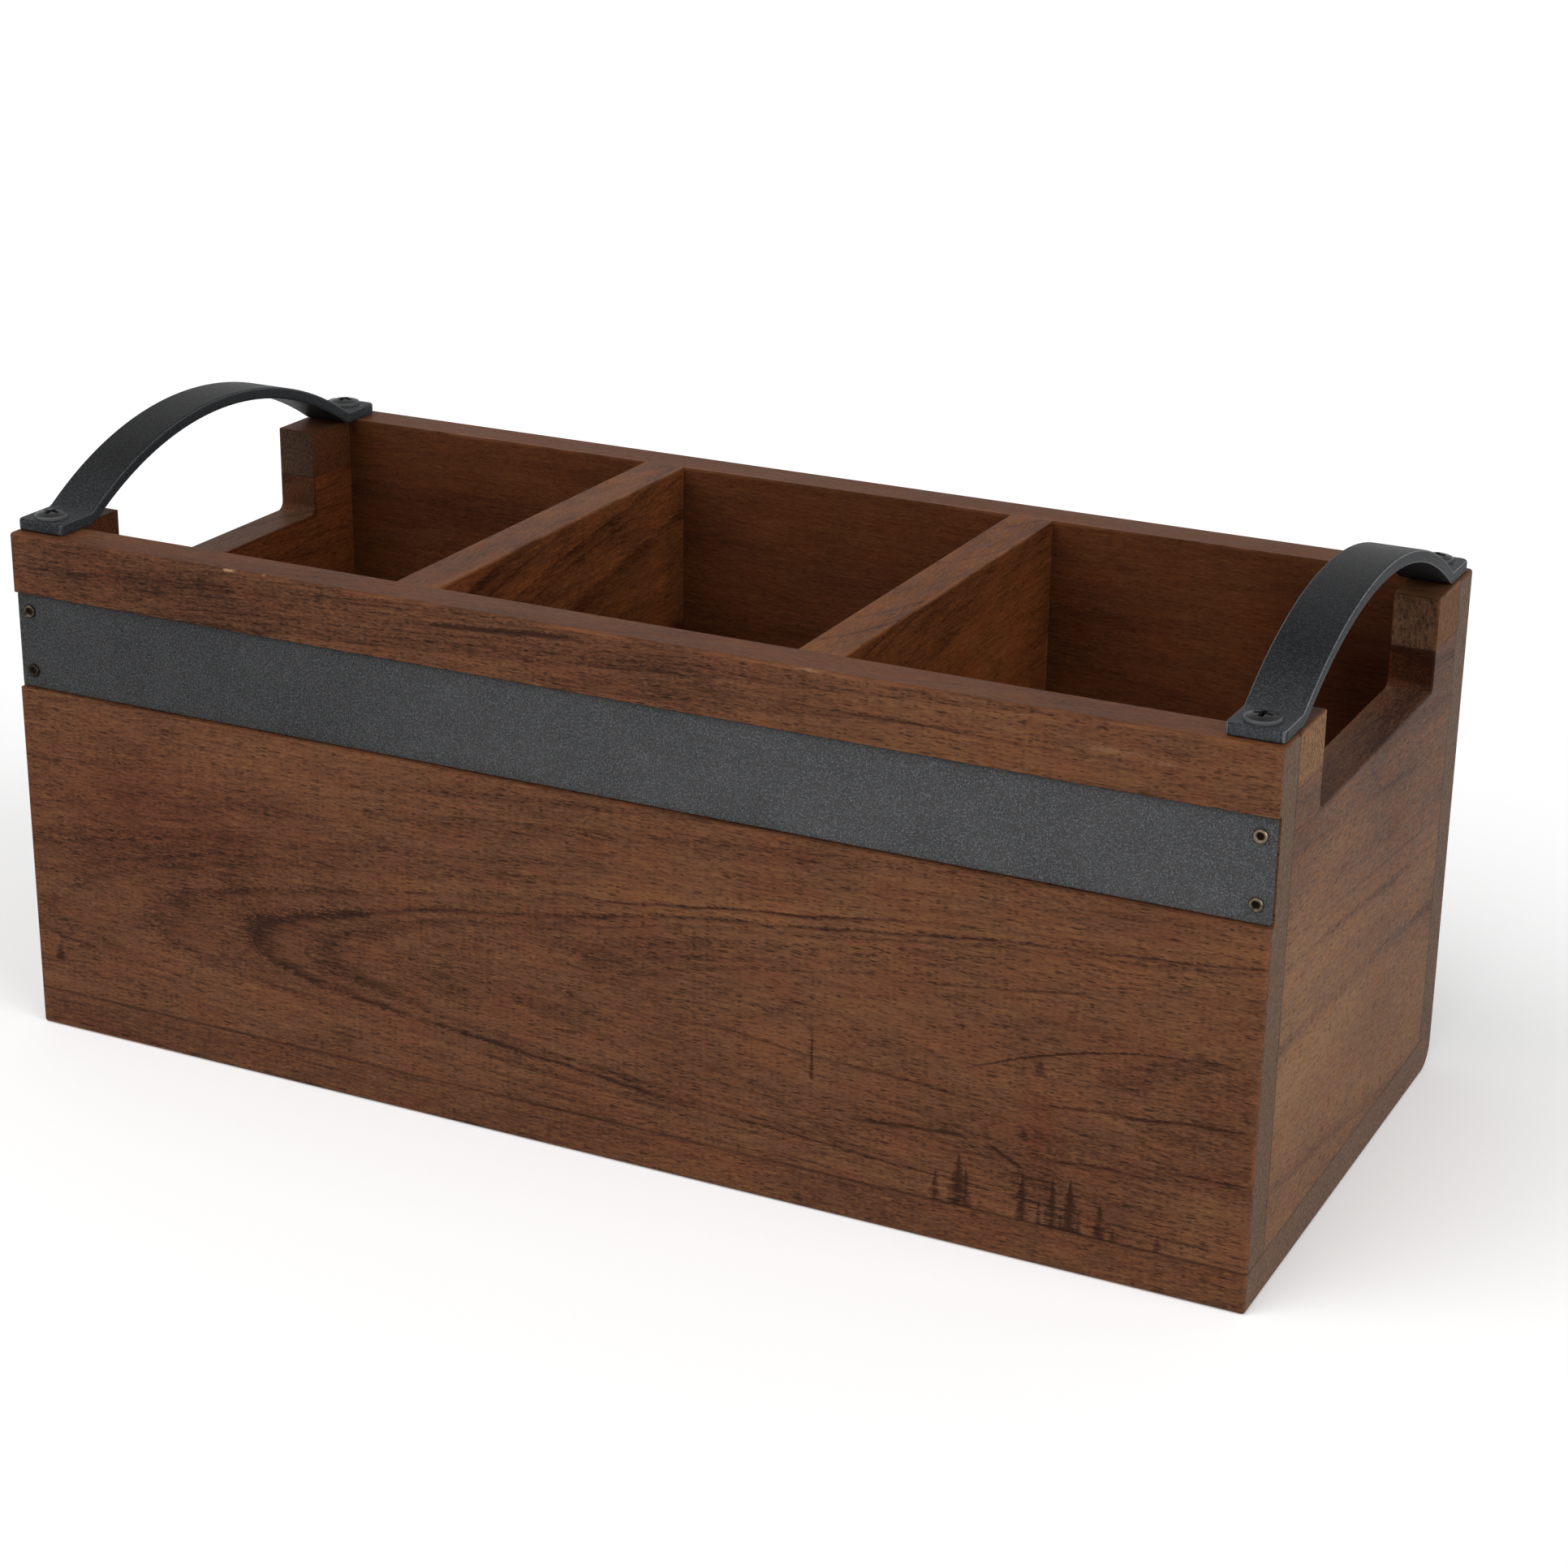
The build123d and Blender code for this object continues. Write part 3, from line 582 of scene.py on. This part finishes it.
# Dowels: plain beech pins, glued into the joints and hidden in the finished tray. Turned beech is pale, with
# fine flecks along the pin.
dowel_beech, tree, place = start_material("plain_turned_beech")
fleck_width, fleck_length, fleck_depth = 0.6, 9.0, 0.0001
spot = add_node(tree, "VectorMath", {0: place, 1: (1 / fleck_width, 1 / fleck_length, 1 / fleck_width)},
                operation="MULTIPLY")
flecks = add_node(tree, "TexNoise", {"Vector": spot, "Scale": 1.0, "Detail": 2.0})
colour = add_node(tree, "MixRGB", {0: flecks, 1: linear("#b08a5e"), 2: linear("#d8b88a")})
normal = add_node(tree, "Bump", {"Strength": 0.2, "Distance": fleck_depth, "Height": flecks})
shader = add_node(tree, "BsdfPrincipled", {"Base Color": colour, "Roughness": 0.65, "Normal": normal})
add_node(tree, "OutputMaterial", {0: shader})
dress("corner_dowels", dowel_beech, arris=None)
dress("divider_dowels", dowel_beech, arris=None)


# Bottom screws: zinc-plated countersunk steel screws, driven up through the bottom board. The plate is
# bright and a little cloudy.
screw_zinc, tree, place = start_material("zinc_plated_steel")
mottles_per_mm = 1.4
mottle = add_node(tree, "TexNoise", {"Vector": place, "Scale": mottles_per_mm, "Detail": 3.0})
colour = add_node(tree, "MixRGB", {0: mottle, 1: linear("#8f9396"), 2: linear("#c3c6c8")})
rough = add_node(tree, "MapRange", {0: mottle, 1: 0.3, 2: 0.7, 3: 0.28, 4: 0.45})
shader = add_node(tree, "BsdfPrincipled", {"Base Color": colour, "Roughness": rough, "Metallic": 1.0})
add_node(tree, "OutputMaterial", {0: shader})
dress("bottom_screws", screw_zinc, arris=None)


# Front band: a mild-steel strip in the groove, powder-coated charcoal. The coat is matt with a fine metal
# fleck, so it glitters with light and dark specks about a third of a millimetre across.
def paint_bar_light(tree, colour, pebbles, side_light_tones, edge_highlight):
    """Paints light and shade on a bar's sides and sheared ends, and a highlight on its rounded edges."""
    facing = facing_axes(tree)
    # The sides and the sheared ends get painted tones of light and shade, patchy with the pebbles.
    tip = add_node(tree, "MapRange", {0: facing[1], 1: 0.90, 2: 0.98, 3: 0.0, 4: 1.0})
    side = add_node(tree, "MapRange", {0: facing[0], 1: 0.35, 2: 0.8, 3: 0.0, 4: 1.0})
    painted_light_share = add_node(tree, "MapRange", {0: pebbles, 1: 0.38, 2: 0.6, 3: 0.35, 4: 1.0})
    for part, part_tone in ((side, side_light_tones[0]), (tip, side_light_tones[1])):
        part = add_node(tree, "Math", {0: part, 1: painted_light_share}, operation="MULTIPLY")
        colour = add_node(tree, "MixRGB", {0: part, 1: colour, 2: linear(part_tone)})
    # A highlight is painted along the rounded edges.
    edge = apart(tree, facing[0], 0.7)
    edge = add_node(tree, "MapRange", {0: edge, 1: 0.05, 2: 0.25, 3: edge_highlight, 4: 0.0})
    edge = add_node(tree, "Math", {0: edge, 1: painted_light_share}, operation="MULTIPLY")
    return add_node(tree, "MixRGB", {0: edge, 1: colour, 2: linear("#808386")})


def powder_coat(name, tones, fleck_tone, fleck_step, gloss, depth, drift, side_light_tones=None, edge_highlight=0.0):
    """Powder coat on steel: a fine pebbled skin with bright flecks in it.

    drift is an axis, two places on it and two offsets: the tone and the flecks change from the first offset
    to the second between the two places. The last two give the tones of light and shade painted on a bar's
    sides and sheared ends, and the strength of the highlight painted on its rounded edges."""
    material, tree, place = start_material(name)
    pebble_size, cloud_size = 1.1 * fleck_step, 18.0
    pebbles = add_node(tree, "TexNoise", {"Vector": place, "Scale": 1 / pebble_size, "Detail": 2.0,
                                          "Roughness": 0.7})
    cloud = add_node(tree, "TexNoise", {"Vector": place, "Scale": 1 / cloud_size, "Detail": 3.0})
    flecks = add_node(tree, "TexVoronoi", {"Vector": place, "Scale": 1 / fleck_step, "Randomness": 1.0})
    chance = add_node(tree, "SeparateXYZ", {0: flecks.node.outputs["Color"]})
    flecks = add_node(tree, "MapRange", {0: flecks, 1: 0.2, 2: 0.6, 3: 1.0, 4: 0.0})
    chance = add_node(tree, "MapRange", {0: chance, 1: 0.3, 2: 0.95, 3: 0.0, 4: 1.0})
    flecks = add_node(tree, "Math", {0: flecks, 1: chance}, operation="MULTIPLY")
    tone = add_node(tree, "MapRange", {0: pebbles, 1: 0.3, 2: 0.7, 3: 0.0, 4: 0.8})
    tone = add_node(tree, "Math", {0: cloud, 1: 0.4, 2: tone}, operation="MULTIPLY_ADD")
    axis, drift_start, drift_end, first_offset, last_offset = drift
    along = add_node(tree, "SeparateXYZ", {0: place}).node.outputs[axis]
    offset = add_node(tree, "MapRange", {0: along, 1: drift_start, 2: drift_end, 3: first_offset,
                                         4: last_offset})
    tone = add_node(tree, "Math", {0: tone, 1: offset}, operation="ADD")
    colour = add_node(tree, "MixRGB", {0: tone, 1: linear(tones[0]), 2: linear(tones[1])})
    if side_light_tones:
        colour = paint_bar_light(tree, colour, pebbles, side_light_tones, edge_highlight)
    fleck_share = add_node(tree, "Math", {0: offset, 1: 0.55}, operation="ADD")
    fleck_share = add_node(tree, "Math", {0: flecks, 1: fleck_share}, operation="MULTIPLY")
    colour = add_node(tree, "MixRGB", {0: fleck_share, 1: colour, 2: linear(fleck_tone)})
    height = add_node(tree, "Math", {0: flecks, 1: 0.35, 2: pebbles}, operation="MULTIPLY_ADD")
    normal = add_node(tree, "Bump", {"Strength": 0.5, "Distance": depth, "Height": height})
    rough = add_node(tree, "MapRange", {0: pebbles, 1: 0.3, 2: 0.7, 3: gloss, 4: gloss + 0.12})
    shader = add_node(tree, "BsdfPrincipled", {"Base Color": colour, "Roughness": rough, "Normal": normal,
                                               "IOR": 1.5, "Specular IOR Level": 0.05})
    add_node(tree, "OutputMaterial", {0: shader})
    return material


dark_until, light_from = -90.0, 45.0
band_coat = powder_coat(
    "charcoal_powder_coated_strip", tones=("#1b1c1d", "#535354"), fleck_tone="#84868a", fleck_step=0.31,
    gloss=0.5, depth=0.00010, drift=(0, dark_until, light_from, -0.25, 0.0))
dress("front_band", band_coat, arris=0.00012)


# Band nails: small steel nails with cupped heads, driven through the band. Their rims are bright with a warm
# tarnish, brighter on the nails further right and higher up, and the cups are painted near black as shade.
nail_low, nail_high = box_mm("band_nails")
nail_head, cup_reach, rim_reach, tarnish_size = 1.5, 0.65, 1.0, 1.2
nail_steel, tree, place = start_material("tarnished_bright_steel")
middle = ((nail_low[0] + nail_high[0]) / 2, 0.0, (nail_low[2] + nail_high[2]) / 2)
reach = (nail_high[0] - middle[0] - nail_head, 0.0, nail_high[2] - middle[2] - nail_head)
spoke = add_node(tree, "VectorMath", {0: place, 1: middle}, operation="SUBTRACT")
spoke = add_node(tree, "VectorMath", {0: spoke}, operation="ABSOLUTE")
spoke = add_node(tree, "VectorMath", {0: spoke, 1: reach}, operation="SUBTRACT")
spoke = add_node(tree, "VectorMath", {0: spoke, 1: (1.0, 0.0, 1.0)}, operation="MULTIPLY")
spoke = add_node(tree, "VectorMath", {0: spoke}, operation="LENGTH").node.outputs["Value"]
on_rim = add_node(tree, "MapRange", {0: spoke, 1: cup_reach, 2: rim_reach, 3: 0.0, 4: 1.0})
tarnish = add_node(tree, "TexNoise", {"Vector": place, "Scale": 1 / tarnish_size, "Detail": 3.0})
nail_place = add_node(tree, "SeparateXYZ", {0: place}).node.outputs
for axis, swing in ((0, 0.2), (2, 0.12)):
    each_nail = add_node(tree, "MapRange", {0: nail_place[axis], 1: middle[axis] - 1.0,
                                            2: middle[axis] + 1.0, 3: -swing, 4: swing})
    tarnish = add_node(tree, "Math", {0: tarnish, 1: each_nail}, operation="ADD")
clean = add_node(tree, "MapRange", {0: tarnish, 1: 0.3, 2: 0.75})
bright = add_node(tree, "MixRGB", {0: clean, 1: linear("#2b2622"), 2: linear("#776b58")})
# The cups are painted near black as shade.
colour = add_node(tree, "MixRGB", {0: on_rim, 1: linear("#1a1511"), 2: bright})
rough = add_node(tree, "MapRange", {0: on_rim, 1: 0.0, 2: 1.0, 3: 0.6, 4: 0.3})
shader = add_node(tree, "BsdfPrincipled", {"Base Color": colour, "Roughness": rough, "Metallic": 1.0})
add_node(tree, "OutputMaterial", {0: shader})
dress("band_nails", nail_steel, arris=0.00008)


# Handles: flat steel bar bent into an arch with a foot at each end, powder-coated near black. The sides and
# the sheared ends of the bar are painted in tones of light and shade, and a highlight is painted along its
# rounded edges, strongest on the right handle.
foot_level, strap_level = 121.0, 129.0
for name, light_tone, side_light_tones, edge_highlight in (
    ("left_handle", "#2b2c2d", ("#2e3032", "#2e3032"), 0.25),
    ("right_handle", "#333436", ("#1e1f21", "#404346"), 0.8),
):
    handle_coat = powder_coat(
        "near_black_powder_coated_" + name, tones=("#0b0b0c", light_tone), fleck_tone="#595c5f",
        fleck_step=0.34, gloss=0.40, depth=0.00012, drift=(2, foot_level, strap_level, 0.15, -0.35),
        side_light_tones=side_light_tones, edge_highlight=edge_highlight)
    dress(name, handle_coat, arris=None)


# Handle screws: low domed cross-recess screws in black oxide, smooth beside the pebbled feet. The cross is
# deep and painted near black as shade, and a glint is painted on the rim of the head.
black_oxide, tree, place = start_material("black_oxide_steel")
oxide_size = 1.25
oxide = add_node(tree, "TexNoise", {"Vector": place, "Scale": 1 / oxide_size, "Detail": 3.0})
colour = add_node(tree, "MixRGB", {0: oxide, 1: linear("#131314"), 2: linear("#232325")})
screw_high = box_mm("handle_screws")[1]
screw_head, glint_rim, recess_reach, recess_lip = 3.65, 0.35, 2.2, 0.45
screw_middle = (screw_high[0] - screw_head, screw_high[1] - screw_head, 0.0)
spoke = add_node(tree, "VectorMath", {0: place}, operation="ABSOLUTE")
spoke = add_node(tree, "VectorMath", {0: spoke, 1: screw_middle}, operation="SUBTRACT")
spoke = add_node(tree, "VectorMath", {0: spoke, 1: (1.0, 1.0, 0.0)}, operation="MULTIPLY")
spoke = add_node(tree, "VectorMath", {0: spoke}, operation="LENGTH").node.outputs["Value"]
# The cross is painted near black as shade.
within = add_node(tree, "Math", {0: spoke, 1: recess_reach}, operation="LESS_THAN")
height = add_node(tree, "SeparateXYZ", {0: place}).node.outputs[2]
below = add_node(tree, "MapRange", {0: height, 1: screw_high[2] - 2 * recess_lip,
                                    2: screw_high[2] - recess_lip, 3: 1.0, 4: 0.0})
recess_shade = add_node(tree, "Math", {0: within, 1: below}, operation="MULTIPLY")
# A glint is painted on the rim of the head.
painted_light_share = add_node(tree, "MapRange", {0: spoke, 1: screw_head - glint_rim, 2: screw_head, 3: 0.0, 4: 0.5})
colour = add_node(tree, "MixRGB", {0: painted_light_share, 1: colour, 2: linear("#747576")})
colour = add_node(tree, "MixRGB", {0: recess_shade, 1: colour, 2: linear("#050505")})
rough = add_node(tree, "MapRange", {0: oxide, 1: 0.3, 2: 0.7, 3: 0.24, 4: 0.38})
shader = add_node(tree, "BsdfPrincipled", {"Base Color": colour, "Roughness": rough,
                                           "Specular IOR Level": 0.08})
add_node(tree, "OutputMaterial", {0: shader})
dress("handle_screws", black_oxide, arris=0.00006)


# Floor: a plain white studio sweep a hair below the tray, which keeps the tray's soft shadow. It is cut out
# under the bottom board, so that the underside can be seen from below. The floor laps a little under the
# board's sides, and at the back the opening ends just behind the start of the rounded edge.
def seen_directly(tree):
    """1 for rays that show a thing, also mirrored or through glass, and 0 for those that light others."""
    rays = add_node(tree, "LightPath").node.outputs
    seen = add_node(tree, "Math", {0: rays["Is Camera Ray"], 1: rays["Is Glossy Ray"]}, operation="MAXIMUM")
    return add_node(tree, "Math", {0: seen, 1: rays["Is Transmission Ray"]}, operation="MAXIMUM")


floor_reach, floor_gap, floor_lap, rounded_back = 6.0, 0.0001, 0.0014, 0.0060
left, front, right, back = board_low[0] / MM, board_low[1] / MM, board_high[0] / MM, board_high[1] / MM
outline = (-floor_reach, -floor_reach, floor_reach, floor_reach)
opening = (left + floor_lap, front + floor_lap, right - floor_lap, back - rounded_back + floor_lap)
floor_corners = []
for x_low, y_low, x_high, y_high in (outline, opening):
    floor_corners += [(x, y, -floor_gap) for x, y in (
        (x_low, y_low), (x_high, y_low), (x_high, y_high), (x_low, y_high))]
floor_mesh = bpy.data.meshes.new("floor")
floor_mesh.from_pydata(floor_corners, [], [(i, (i + 1) % 4, (i + 1) % 4 + 4, i + 4) for i in range(4)])
floor = bpy.data.objects.new("floor", floor_mesh)
bpy.context.scene.collection.objects.link(floor)
floor_paper, tree, place = start_material("white_studio_paper")
paper_lift, tooth_size = 0.22, 2.0
tooth = add_node(tree, "TexNoise", {"Vector": place, "Scale": 1 / tooth_size, "Detail": 2.0})
colour = add_node(tree, "MixRGB", {0: tooth, 1: linear("#f0f0f0"), 2: linear("#f4f4f4")})
paper = add_node(tree, "BsdfDiffuse", {"Color": colour})
lift = add_node(tree, "Math", {0: seen_directly(tree), 1: paper_lift}, operation="MULTIPLY")
glow = add_node(tree, "Emission", {"Color": linear("#ffffff"), "Strength": lift})
shader = add_node(tree, "AddShader", {0: paper, 1: glow})
add_node(tree, "OutputMaterial", {0: shader})
floor_mesh.materials.append(floor_paper)


# Light: a white room, a broad soft lamp from the front left and above, and a broad soft one from the right.
# The room is plain white where it is seen, and dimmer as a light.
room_light, room_seen = 0.36, 1.0
world = bpy.data.worlds.new("white_room")
world.use_nodes = True
bpy.context.scene.world = world
tree = world.node_tree
tree.nodes.clear()
strength = add_node(tree, "MapRange", {0: seen_directly(tree), 1: 0.0, 2: 1.0, 3: room_light, 4: room_seen})
room = add_node(tree, "Background", {"Color": linear("#ffffff"), "Strength": strength})
add_node(tree, "OutputWorld", {0: room})

for lamp_name, lamp_from, lamp_strength, lamp_spread in (
    ("front_left_softbox", Vector((-0.35, -0.72, 0.80)), 1.7, 60.0),
    ("right_softbox", Vector((0.88, -0.20, 0.42)), 1.45, 50.0),
):
    lamp = bpy.data.lights.new(lamp_name, "SUN")
    lamp.energy = lamp_strength
    lamp.angle = math.radians(lamp_spread)
    lamp_object = bpy.data.objects.new(lamp_name, lamp)
    lamp_object.rotation_euler = lamp_from.to_track_quat("Z", "Y").to_euler()
    bpy.context.scene.collection.objects.link(lamp_object)


# Camera: in front of the right end and above the rim, at the photographed angle.
camera_place = (0.31149, -0.61128, 0.32370)
camera_turn, camera_tilt, camera_roll = 26.058, 20.762, 0.793
camera_data = bpy.data.cameras.new("camera")
camera_data.sensor_width = 36.0
camera_data.lens = 75.30
camera = bpy.data.objects.new("camera", camera_data)
turn = Matrix.Rotation(math.radians(camera_turn), 4, "Z")
tilt = Matrix.Rotation(math.radians(90.0 - camera_tilt), 4, "X")
roll = Matrix.Rotation(math.radians(camera_roll), 4, "Z")
camera.matrix_world = Matrix.Translation(camera_place) @ turn @ tilt @ roll
bpy.context.scene.collection.objects.link(camera)
bpy.context.scene.camera = camera
bpy.context.scene.view_settings.view_transform = "Standard"
